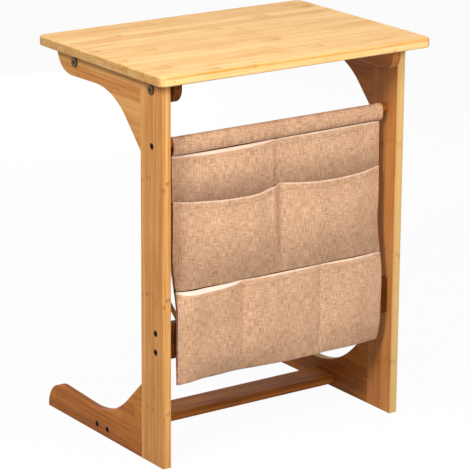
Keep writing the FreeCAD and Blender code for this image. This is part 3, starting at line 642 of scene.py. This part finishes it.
class Bag:
    """Where each point of the cloth hangs, from the rod, the rail and the bag's own sizes."""

    def __init__(self, look):
        self.look = look
        rod_low, rod_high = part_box("bag_rod")
        rail_low, rail_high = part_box("lower_rail")
        back_low, back_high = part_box("bag_back")
        self.half = back_high.x
        self.bottom = back_low.z
        self.rod_y = (rod_low.y + rod_high.y) / 2
        self.rod_z = (rod_low.z + rod_high.z) / 2
        self.under_rod = self.rod_y + look.cloth / 2
        self.sleeve = (rod_high.z - rod_low.z) / 2 + look.sleeve_gap
        self.rail_front = rail_low.y - look.rail_gap
        self.rail_bottom = rail_low.z
        self.bend_bottom = rail_high.z + look.bend_above
        self.spans = {}
        for key, row in ROWS.items():
            low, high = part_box(row.node)
            self.spans[key] = [low.z, high.z + row.raised]
        self.spans["MIDDLE"][0] = self.spans["LOWER"][1] + MIDDLE_ABOVE_LOWER

    def hem(self, x):
        """Height of the bag's bottom edge."""
        return self.bottom + heights(HEM_WAVES, x)

    def seam(self, x):
        """Height of the seam under the rod."""
        return self.rod_z - self.look.seam_drop + self.look.tilt * x / self.half

    def drawn(self, x, z):
        """Where a point of the flat cloth comes to lie along the rod."""
        height = (z - self.bottom) / (self.rod_z - self.bottom)
        stretch = self.look.stretch * (1 + height)
        return x * (1 + stretch / self.half) + self.look.slide * height

    def hang(self, x, z):
        """Depth of the back panel's back face."""
        if z > self.rail_bottom:
            bend = self.look.bend_height * (1 - EDGE_BEND * abs(x / self.half) ** EDGE_POWER)
            lean = ease((z - self.bend_bottom) / bend)
            depth = self.rail_front + (self.under_rod - self.rail_front) * lean
        else:
            kick = self.look.hem_kick + heights(KICKS, x)
            depth = self.rail_front + kick * ((self.rail_bottom - z) / HEM_DROP) ** 2
        below_seam = self.seam(x) - z
        creases = sum(crease.height * crumpled(crease, x, z) for crease in CREASES)
        forward = self.look.crease * (CREASE_MIDDLE + creases) + heights(FOLDS, x)
        loose = max(forward, 0.0) * ease(below_seam / FREE_BELOW_SEAM)
        tuck = heights((TUCK,), x) * ease((z - TUCK_BOTTOM) / TUCK_RISE) * ease(below_seam / TUCK_END)
        return depth - loose - tuck

    def back_point(self, x, share):
        """The back panel up to the seam, then the sleeve forward, round the rod and back to the seam."""
        panel, flap, touch, over = SLEEVE_SHARES
        if share <= panel:
            hem = self.hem(x)
            z = hem + (self.seam(x) - hem) * share / panel
            return Vector((self.drawn(x, z), self.hang(x, z), z))
        seam = Vector((self.under_rod, self.seam(x)))
        front = seam - Vector((self.look.flap, 0))
        if share <= flap:
            return self.on_rod(x, seam.lerp(front, (share - panel) / (flap - panel)))
        if share <= touch:
            return self.on_rod(x, self.loose_front(front, (share - flap) / (touch - flap)))
        if share <= over:
            turn = FRONT_TOUCH + (BACK_TOUCH - FRONT_TOUCH) * (share - touch) / (over - touch)
            return self.on_rod(x, self.round_rod(turn))
        sewn = seam + Vector((self.look.seam_gap, 0))
        return self.on_rod(x, self.round_rod(BACK_TOUCH).lerp(sewn, (share - over) / (1 - over)))

    def on_rod(self, x, depth_and_height):
        return Vector((self.drawn(x, self.rod_z), *depth_and_height))

    def round_rod(self, turn):
        """A point of the sleeve's inner face on the rod."""
        return Vector((self.rod_y, self.rod_z)) + self.sleeve * Vector((math.cos(turn), math.sin(turn)))

    def loose_front(self, seam, share):
        """The sleeve's slack front, which rises from the seam and meets the rod without a corner."""
        touch = self.round_rod(FRONT_TOUCH)
        low_control = seam + LOW_SLACK
        high_control = touch - Vector((math.sin(FRONT_TOUCH), -math.cos(FRONT_TOUCH))) * HIGH_SLACK
        first = seam.lerp(low_control, share)
        second = low_control.lerp(high_control, share)
        third = high_control.lerp(touch, share)
        return first.lerp(second, share).lerp(second.lerp(third, share), share)

    def pocket_at(self, key, x):
        for pocket in ROWS[key].pockets:
            if x <= pocket.end:
                return pocket
        return ROWS[key].pockets[-1]

    def slack(self, pocket, x):
        """How loose a pocket's cloth is: 0 at its seams and 1 where it peaks."""
        across = (x - pocket.start) / (pocket.end - pocket.start)
        reach = pocket.peak if across < pocket.peak else 1 - pocket.peak
        return max(0.0, 1 - ((across - pocket.peak) / reach) ** 2)

    def mouth(self, key, x):
        """Height of a row's upper edge, which sags between the seams."""
        pocket = self.pocket_at(key, x)
        tilt = self.look.tilt * x / self.half if key == "UPPER" else 0.0
        return self.spans[key][1] + tilt - pocket.sag * self.slack(pocket, x)

    def ledge(self, pocket, x):
        """Height of the rounded edge along a mouth."""
        return max(LEAST_LEDGE, pocket.ledge * self.slack(pocket, x) ** LEDGE_POWER)

    def pocket_point(self, key, x, share):
        """A row's back face, from its sewn bottom to its mouth, with a soft ledge along the mouth."""
        row = ROWS[key]
        pocket = self.pocket_at(key, x)
        low = self.hem(x) if key == "LOWER" else self.spans[key][0]
        mouth = self.mouth(key, x)
        z = low + (mouth - low) * share
        slack = self.slack(pocket, x)
        ledge = self.ledge(pocket, x)
        below_mouth = mouth - z
        if below_mouth < ledge:
            opened = math.sqrt(max(0.0, 1 - (1 - below_mouth / ledge) ** 2))
        else:
            opened = ease(1 - (below_mouth - ledge) / GAPE_DROP)
        filling = math.sin(min(share / row.fullest, 1.0) * math.pi / 2)
        belly = filling * ease((1 - share) / (1 - row.fullest))
        pouch = row.foot * (1 - share) + pocket.pouch * belly * slack ** POUCH_POWER
        gap = self.look.seam_gap + (row.lift - self.look.seam_gap) * share
        bulge = pocket.bulge * math.sin(share * math.pi / 2) * slack ** GAPE_POWER
        gape = pocket.gape * slack ** GAPE_POWER * opened
        ripple = RIPPLE.height * share * slack * (1 + crumpled(RIPPLE, x, z))
        forward = gap + bulge + gape + pouch + ripple
        place = self.drawn(x - self.look.offset, z)
        return Vector((place, self.hang(x, z) - self.look.cloth - forward, z))

    def lip(self, key, x, share):
        """Above 0 along a mouth, where a painted highlight lies on the up-turned lip, and below 0 where
        painted shade lies behind another row.
        """
        low, high = self.spans[key]
        pocket = self.pocket_at(key, x)
        below_mouth = (1 - share) * (high - low)
        opening = min(1.0, LEAST_LIP + pocket.gape / WIDE_GAPE)
        shown = opening * soft_edge(self.ledge(pocket, x) - below_mouth, LIP_EDGE)
        # Painted shade: the upper row darkens towards where the middle row covers it, the middle row
        # towards its own foot, the lower row not at all
        covered_to = {"UPPER": self.mouth("MIDDLE", x), "MIDDLE": low, "LOWER": low - FAR_BELOW}[key]
        shaded = SHADED_SHARE * (high - covered_to)
        painted_row_shade = SHADE_DEPTH * ease(1 - (low + share * (high - low) - covered_to) / shaded)
        return shown - painted_row_shade

    def painted_gap_shadow(self, x, share):
        """1 on the strips of the back panel that lie deep between two rows, where a painted shadow darkens
        the gaps.
        """
        hem, seam = self.hem(x), self.seam(x)
        z = hem + (seam - hem) * share / SLEEVE_SHARES[0]
        under_sleeve = ease((z - self.mouth("UPPER", x)) / PAINTED_GAP_SHADOW_EDGE + 1) if z <= seam else 0.0
        low, high = self.mouth("LOWER", x), self.spans["MIDDLE"][0]
        between = ease((z - low) / PAINTED_GAP_SHADOW_EDGE + 2) * ease((high - z) / PAINTED_GAP_SHADOW_EDGE + 2)
        return max(under_sleeve, between)

    def hem_weight(self, x, length_from_edges):
        """How far a point lies in a folded band, from 0 to 1."""
        in_side = soft_edge(abs(x) - self.half + self.look.side_hem, SIDE_HEM_EDGE)
        return max(in_side, *(soft_edge(band - length, HEM_EDGE) for length, band in length_from_edges))


def add_object(name, mesh):
    """Puts a finished mesh into the scene."""
    data = bpy.data.meshes.new(name)
    mesh.to_mesh(data)
    mesh.free()
    made = bpy.data.objects.new(name, data)
    bpy.context.scene.collection.objects.link(made)
    return made


# Mesh of a sheet and its rounded edge
CLOTH_STEP = 0.0025
LEAST_COLUMNS = 6
ROUNDED_SHARE = 0.4
ROUNDED_ANGLE = math.radians(50)


def cloth_object(name, width, length, shares, point, weight, lip, look):
    """A sheet shaped by a function of x and a share of its length, with its flat size as UV map.

    The rows of vertices lie at the given shares. Two more functions of x and share give the folded bands
    and the attribute lip: a painted highlight along the mouths above 0, painted shade and shadow below 0.
    """
    mesh = bmesh.new()
    uv = mesh.loops.layers.uv.new("flat")
    hems = mesh.verts.layers.deform.verify()
    lips = mesh.verts.layers.float.new("lip")
    rows = len(shares) - 1
    columns = max(LEAST_COLUMNS, round(width / CLOTH_STEP))
    bmesh.ops.create_grid(mesh, x_segments=columns, y_segments=rows, size=0.5)

    def flat_place(vert):
        return vert.co.x * width, shares[round((vert.co.y + 0.5) * rows)]

    for face in mesh.faces:
        face.smooth = True
        for loop in face.loops:
            x, share = flat_place(loop.vert)
            loop[uv].uv = (x, share * length)
    for vert in mesh.verts:
        x, share = flat_place(vert)
        vert[hems][0] = weight(x, share)
        vert[lips] = lip(x, share)
        vert.co = point(x, share)
    sheet = add_object(name, mesh)
    sheet.vertex_groups.new(name="hem")
    thicken = sheet.modifiers.new("cloth", "SOLIDIFY")
    thicken.thickness = look.hem
    thicken.offset = 1.0
    thicken.vertex_group = "hem"
    thicken.thickness_vertex_group = look.cloth / look.hem
    soften = sheet.modifiers.new("soft edge", "BEVEL")
    soften.width = look.cloth * ROUNDED_SHARE
    soften.segments = 2
    soften.limit_method = "ANGLE"
    soften.angle_limit = ROUNDED_ANGLE
    return sheet


def material(name, make):
    """A material that is made once."""
    return bpy.data.materials.get(name) or make()


def dress(node, finish):
    """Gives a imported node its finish."""
    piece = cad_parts[node]
    piece.data.materials.clear()
    piece.data.materials.append(finish)


def tan_linen(look):
    return material("tan linen", lambda: linen("tan linen", look.pale, look.deep, look))


# Operators

class TABLE_OT_boards(bpy.types.Operator):
    """Gives every bamboo board its strips, grain and lacquer"""

    bl_idname = "magazine_table.boards"
    bl_label = "Bamboo boards"

    def execute(self, context):
        look = context.scene.table_bamboo
        brown, spacing = look.knuckle, look.frame_knuckles
        top = Cut(
            look.top_pale, look.top_deep, look.top_knuckle, look.top_knuckles,
            offset=0.37, scatter=1.0, ramp=0.06, strength=0.9, joint=0.12, blocks=0.0,
            edge=0.0, gloss=0.25,
        )
        left_frame = Cut(
            look.frame_pale, look.frame_deep, brown, spacing,
            offset=0.71, scatter=0.1, ramp=0.012, strength=0.5, joint=0.15, blocks=0.0,
            edge=0.1, gloss=0.22,
        )
        # Painted shade and light: darker strips shade the right frame's inner faces, a strong edge share
        # lights its front faces
        right_frame_painted_light_and_shade = left_frame._replace(pale=look.shaded_right_pale, deep=look.shaded_right_deep, edge=0.55)
        left_foot = Cut(
            look.foot_pale, look.foot_deep, brown, spacing,
            offset=0.37, scatter=1.0, ramp=0.03, strength=0.5, joint=0.06, blocks=0.4,
            edge=0.0, gloss=0.12,
        )
        # Painted light: the pale edge mix lights the top faces of the right foot and its gusset
        right_foot_painted_lit_top = left_foot._replace(edge=0.5)
        # Darker strips for the rod and the stretcher: their own deeper tone plus painted shade
        darker_and_shaded_cross = left_foot._replace(
            pale=look.cross_pale, deep=look.cross_deep, joint=0.1, blocks=0.3, gloss=0.08
        )
        # Painted shade: near-black strips for the rail and the left batten
        rail = darker_and_shaded_cross._replace(pale=look.shaded_rail_pale, deep=look.shaded_rail_deep)
        boards = {
            "table_top": ("X", "Y", top),
            "bag_rod": ("X", "Z", darker_and_shaded_cross),
            "lower_rail": ("X", "Z", rail),
            "bottom_stretcher": ("X", "Y", darker_and_shaded_cross),
            # The left batten takes the rail's painted shadow; the right batten takes the right frame's
            # painted shade and light
            "left_cleat": ("Y", "Z", rail),
            "right_cleat": ("Y", "Z", right_frame_painted_light_and_shade),
        }
        side_frames = {"left": (left_frame, left_foot), "right": (right_frame_painted_light_and_shade, right_foot_painted_lit_top)}
        for side, (upright, foot) in side_frames.items():
            gusset = foot._replace(pale=look.gusset_pale, deep=look.gusset_deep)
            boards[side + "_upright"] = ("Z", "Y", upright)
            boards[side + "_arm"] = ("Y", "Z", upright)
            boards[side + "_foot"] = ("Y", "Z", foot)
            boards[side + "_foot_gusset"] = ("Y", "Z", gusset)
        for node, (grain, across, cut) in boards.items():
            dress(node, bamboo(node + " bamboo", grain, across, cut, look))
        return {"FINISHED"}


class TABLE_OT_fasteners(bpy.types.Operator):
    """Gives the bolts and screws their finishes"""

    bl_idname = "magazine_table.fasteners"
    bl_label = "Bolts and screws"

    def execute(self, context):
        bronze = metal("bronzed steel", srgb(100, 80, 50), roughness=0.4)
        black = metal("blackened steel", srgb(40, 34, 30), roughness=0.5)
        finishes = {
            "cleat_bolts": bronze,
            "rod_screws": black,
            "rail_screws": black,
            "stretcher_screws": black,
        }
        for node, finish in finishes.items():
            dress(node, finish)
        return {"FINISHED"}


# Flat length of the back, its rows of faces, and the fold under the rod with its strip of painted highlight
BACK_LENGTH = 0.421
BACK_ROWS = (220, 4, 12, 16, 6)
SLEEVE_HEM = 0.004
PAINTED_FOLD_HIGHLIGHT = 0.4
FOLD_SHARE = 0.004


class TABLE_OT_bag_back(bpy.types.Operator):
    """Hangs the back of the bag over the rod"""

    bl_idname = "magazine_table.bag_back"
    bl_label = "Back of the bag"

    def execute(self, context):
        look = context.scene.table_bag
        bag = Bag(look)
        width = 2 * bag.half
        length = BACK_LENGTH
        fold = SLEEVE_SHARES[1]
        shares = []
        for start, end, steps in zip((0.0, *SLEEVE_SHARES), (*SLEEVE_SHARES, 1.0), BACK_ROWS):
            shares += [start + (end - start) * k / steps for k in range(steps)]
        shares.append(1.0)

        def weight(x, share):
            return bag.hem_weight(x, [(share * length, look.mouth_hem), ((1 - share) * length, SLEEVE_HEM)])

        # Painted highlight on the sleeve's fold, and painted shadow on the panel in the gaps between the
        # rows
        def lip(x, share):
            return PAINTED_FOLD_HIGHLIGHT if fold <= share < fold + FOLD_SHARE else -bag.painted_gap_shadow(x, share)

        sheet = cloth_object("bag_back_cloth", width, length, shares, bag.back_point, weight, lip, look)
        sheet.data.materials.append(tan_linen(look))
        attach(sheet, "bag")
        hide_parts("bag_back")
        return {"FINISHED"}


# How much closer the rows of faces lie towards a mouth
MOUTH_CROWDING = 1.7


class TABLE_OT_pockets(bpy.types.Operator):
    """Sews one row of pockets on the bag"""

    bl_idname = "magazine_table.pockets"
    bl_label = "Row of pockets"

    row: EnumProperty(
        name="Row", description="Which row of pockets to make",
        items=[(key, key.title(), "The %s row" % key.lower()) for key in ROWS],
    )

    def execute(self, context):
        look = context.scene.table_bag
        bag = Bag(look)
        low, mouth = bag.spans[self.row]
        length = mouth - low
        width = 2 * (bag.half - look.inset)
        rows = round(length / CLOTH_STEP)
        shares = [1 - (1 - k / rows) ** MOUTH_CROWDING for k in range(rows + 1)]

        def weight(x, share):
            bands = [((1 - share) * length, look.mouth_hem)]
            if self.row == "LOWER":
                bands.append((share * length, look.mouth_hem))
            return bag.hem_weight(x, bands)

        def point(x, share):
            return bag.pocket_point(self.row, x, share)

        def lip(x, share):
            return bag.lip(self.row, x, share)

        node = ROWS[self.row].node
        sheet = cloth_object(node + "_cloth", width, length, shares, point, weight, lip, look)
        sheet.data.materials.append(tan_linen(look))
        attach(sheet, "bag")
        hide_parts(node)
        return {"FINISHED"}


# Places of the stitches in the folded bands, and half a stitch as a share of its pitch
SIDE_STITCH = 0.6
MOUTH_STITCH = 0.85
HALF_STITCH = 0.4


def thread_finish(look):
    """Twisted sewing thread."""
    shader = new_shader("sewing thread")
    twist = shader.speckle(scale=2500.0, detail=1)
    return shader.surface({
        "Base Color": shader.mix(twist, opaque(look.sewing), opaque(look.deep)),
        "Roughness": 0.85,
    })


class TABLE_OT_stitching(bpy.types.Operator):
    """Sews the visible stitches along hems, mouths and dividers"""

    bl_idname = "magazine_table.stitching"
    bl_label = "Stitching"

    def execute(self, context):
        look = context.scene.table_bag
        bag = Bag(look)
        mesh = bmesh.new()
        for key, row in ROWS.items():
            for line in self.lines(bag, key, row):
                self.sew(mesh, line, look)
        seams = add_object("bag_stitching", mesh)
        seams.data.materials.append(material("sewing thread", lambda: thread_finish(look)))
        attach(seams, "bag")
        return {"FINISHED"}

    def lines(self, bag, key, row):
        """The places of the stitches on a row's front face, one list for each seam."""
        look = bag.look
        low, mouth = bag.spans[key]
        height = mouth - low
        edge = bag.half - look.inset - look.side_hem * SIDE_STITCH
        band = 1 - look.mouth_hem * MOUTH_STITCH / height
        steps_across = round(2 * edge / look.stitch)
        steps_up = round(height / look.stitch)

        def front(x, share, thickness):
            return bag.pocket_point(key, x, share) - Vector((0, thickness, 0))

        ends = [-edge + 2 * edge * k / steps_across for k in range(steps_across + 1)]
        yield [front(x, band, look.hem) for x in ends]
        if key == "LOWER":
            yield [front(x, 1 - band, look.hem) for x in ends]
        rises = [k / steps_up for k in range(steps_up + 1)]
        for x in (-edge, edge):
            yield [front(x, share, look.hem) for share in rises]
        for pocket in row.pockets[1:]:
            yield [front(pocket.start, share, look.cloth) for share in rises if share < band]
            yield [front(pocket.start, share, look.hem) for share in rises if share >= band]

    def sew(self, mesh, line, look):
        """One small thread between each two places."""
        radius = look.stitch_thickness / 2
        for start, end in zip(line, line[1:]):
            run = end - start
            turn = run.to_track_quat("X", "Z").to_matrix().to_4x4()
            scale = Matrix.Diagonal((run.length * HALF_STITCH, radius, radius, 1))
            place = Matrix.Translation((start + end) / 2) @ turn @ scale
            made = bmesh.ops.create_icosphere(mesh, subdivisions=1, radius=1.0, matrix=place)
            for vert in made["verts"]:
                for face in vert.link_faces:
                    face.smooth = True


# Rows of faces, folded share and deeper threads of the tapes
TAPE_ROWS = 16
TAPE_HEM = 0.3
TAPE_SHADE = 0.6


class TABLE_OT_straps(bpy.types.Operator):
    """Makes the tapes on the back of the bag"""

    bl_idname = "magazine_table.straps"
    bl_label = "Straps"

    def execute(self, context):
        look = context.scene.table_bag
        bag = Bag(look)
        # The straps' pale colour carries painted light
        deep = [channel * TAPE_SHADE for channel in look.tape]
        finish = material("tape", lambda: linen("tape", look.tape, deep, look))
        for node in ("left_strap", "right_strap"):
            low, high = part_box(node)
            cut, climb = look.tape_cut, look.tape_climb
            start = bag.hang(low.x, low.z + cut / 2)
            run = high.y - start
            sewn_at = Vector((bag.drawn(low.x, low.z), start, low.z + cut / 2))

            def point(x, share, sewn_at=sewn_at, run=run):
                return sewn_at + Vector((0, run * share, x + climb * share))

            length = math.hypot(run, climb)
            shares = [k / TAPE_ROWS for k in range(TAPE_ROWS + 1)]
            tape = cloth_object(
                node + "_tape", cut, length, shares, point,
                weight=lambda x, share: TAPE_HEM, lip=lambda x, share: 0.0, look=look,
            )
            tape.data.materials.append(finish)
            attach(tape, "bag")
            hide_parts(node)
            cut * run
        return {"FINISHED"}


Lamp = namedtuple("Lamp", "size place mirrored")

LAMPS = {
    "overhead": Lamp(1.4, Vector((-0.1, -0.4, 2.0)), mirrored=True),
    "front": Lamp(0.9, Vector((0.0, -2.4, 1.5)), mirrored=False),
    "side": Lamp(0.7, Vector((-2.1, -1.0, 1.9)), mirrored=False),
    "back": Lamp(0.45, Vector((0.8, 2.3, 0.4)), mirrored=False),
}
LAMPS_AIM = Vector((0, 0, 0.35))
FLOOR_REACH = 15.0
WHITE = (1, 1, 1, 1)


class TABLE_OT_studio(bpy.types.Operator):
    """Sets up the floor, the lamps, the camera and the view"""

    bl_idname = "magazine_table.studio"
    bl_label = "Studio"

    def execute(self, context):
        look = context.scene.table_studio
        self.add_floor(look)
        self.light_world(context, look)
        for name, lamp in LAMPS.items():
            self.add_lamp(context, name + " lamp", getattr(look, name), lamp)
        self.add_camera(context, look)
        context.scene.view_settings.view_transform = "Standard"
        return {"FINISHED"}

    def add_floor(self, look):
        mesh = bmesh.new()
        bmesh.ops.create_grid(mesh, x_segments=1, y_segments=1, size=FLOOR_REACH)
        floor = add_object("floor", mesh)
        shader = new_shader("pale floor")
        seen = shader.backdrop_rays()
        shade = shader.mix(seen, opaque(look.bounce), opaque(look.floor))
        matt = shader.node("ShaderNodeBsdfDiffuse", inputs={"Color": shade})
        white = shader.node("ShaderNodeEmission", inputs={"Color": WHITE, "Strength": 1.0})
        mixed = shader.node("ShaderNodeMixShader", inputs={0: seen * look.floor_white, 1: matt, 2: white})
        shader.node("ShaderNodeOutputMaterial", inputs={"Surface": mixed})
        floor.data.materials.append(shader.owner)
        floor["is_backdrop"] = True

    def light_world(self, context, look):
        context.scene.world = bpy.data.worlds.new("studio")
        shader = Shader(context.scene.world)
        strength = look.ambient + shader.backdrop_rays() * (1.0 - look.ambient)
        sky = shader.node("ShaderNodeBackground", inputs={"Color": WHITE, "Strength": strength})
        shader.node("ShaderNodeOutputWorld", inputs={"Surface": sky})

    def add_lamp(self, context, name, power, made):
        data = bpy.data.lights.new(name, "AREA")
        data.energy = power
        data.size = made.size
        lamp = bpy.data.objects.new(name, data)
        lamp.location = made.place
        lamp.rotation_euler = (LAMPS_AIM - made.place).to_track_quat("-Z", "Y").to_euler()
        lamp.visible_glossy = made.mirrored
        context.scene.collection.objects.link(lamp)
        lamp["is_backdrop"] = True

    def add_camera(self, context, look):
        back = Vector((
            math.sin(look.azimuth) * math.cos(look.elevation),
            -math.cos(look.azimuth) * math.cos(look.elevation),
            math.sin(look.elevation),
        ))
        level = Vector((math.cos(look.azimuth), math.sin(look.azimuth), 0))
        turned = Matrix.Rotation(look.roll, 3, back)
        right = turned @ level
        up = turned @ back.cross(level)
        data = bpy.data.cameras.new("camera")
        data.lens = look.lens
        data.clip_start = 0.1
        data.clip_end = 100
        camera = bpy.data.objects.new("camera", data)
        camera.matrix_world = Matrix((right, up, back)).transposed().to_4x4()
        camera.location = Vector(look.look_at) + back * look.distance
        context.scene.collection.objects.link(camera)
        context.scene.camera = camera


class TABLE_PT_panel(bpy.types.Panel):
    """The table's sizes, colours and steps"""

    bl_label = "Magazine Table"
    bl_idname = "TABLE_PT_panel"
    bl_space_type = "VIEW_3D"
    bl_region_type = "UI"
    bl_category = "Table"

    def draw(self, context):
        scene = context.scene
        for operator in STEPS:
            self.layout.operator(operator.bl_idname)
        for group in (scene.table_bamboo, scene.table_bag, scene.table_studio):
            box = self.layout.box()
            for name in group.__annotations__:
                box.prop(group, name)


LOOKS = {"table_bamboo": BambooLook, "table_bag": BagLook, "table_studio": StudioLook}
STEPS = (
    TABLE_OT_boards,
    TABLE_OT_fasteners,
    TABLE_OT_bag_back,
    TABLE_OT_pockets,
    TABLE_OT_stitching,
    TABLE_OT_straps,
    TABLE_OT_studio,
)


def register():
    for name, look in LOOKS.items():
        bpy.utils.register_class(look)
        setattr(bpy.types.Scene, name, PointerProperty(type=look))
    for step in STEPS:
        bpy.utils.register_class(step)
    bpy.utils.register_class(TABLE_PT_panel)


def unregister():
    bpy.utils.unregister_class(TABLE_PT_panel)
    for step in reversed(STEPS):
        bpy.utils.unregister_class(step)
    for name, look in reversed(LOOKS.items()):
        delattr(bpy.types.Scene, name)
        bpy.utils.unregister_class(look)


def main():
    register()
    table = bpy.ops.magazine_table
    table.boards()
    table.fasteners()
    table.bag_back()
    for row in ROWS:
        table.pockets(row=row)
    table.stitching()
    table.straps()
    table.studio()
    boxes = {"cad": CAD_BOX, "visual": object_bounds()}
    {name: [list(corner) for corner in corners] for name, corners in boxes.items()}


if __name__ == "__main__":
    main()
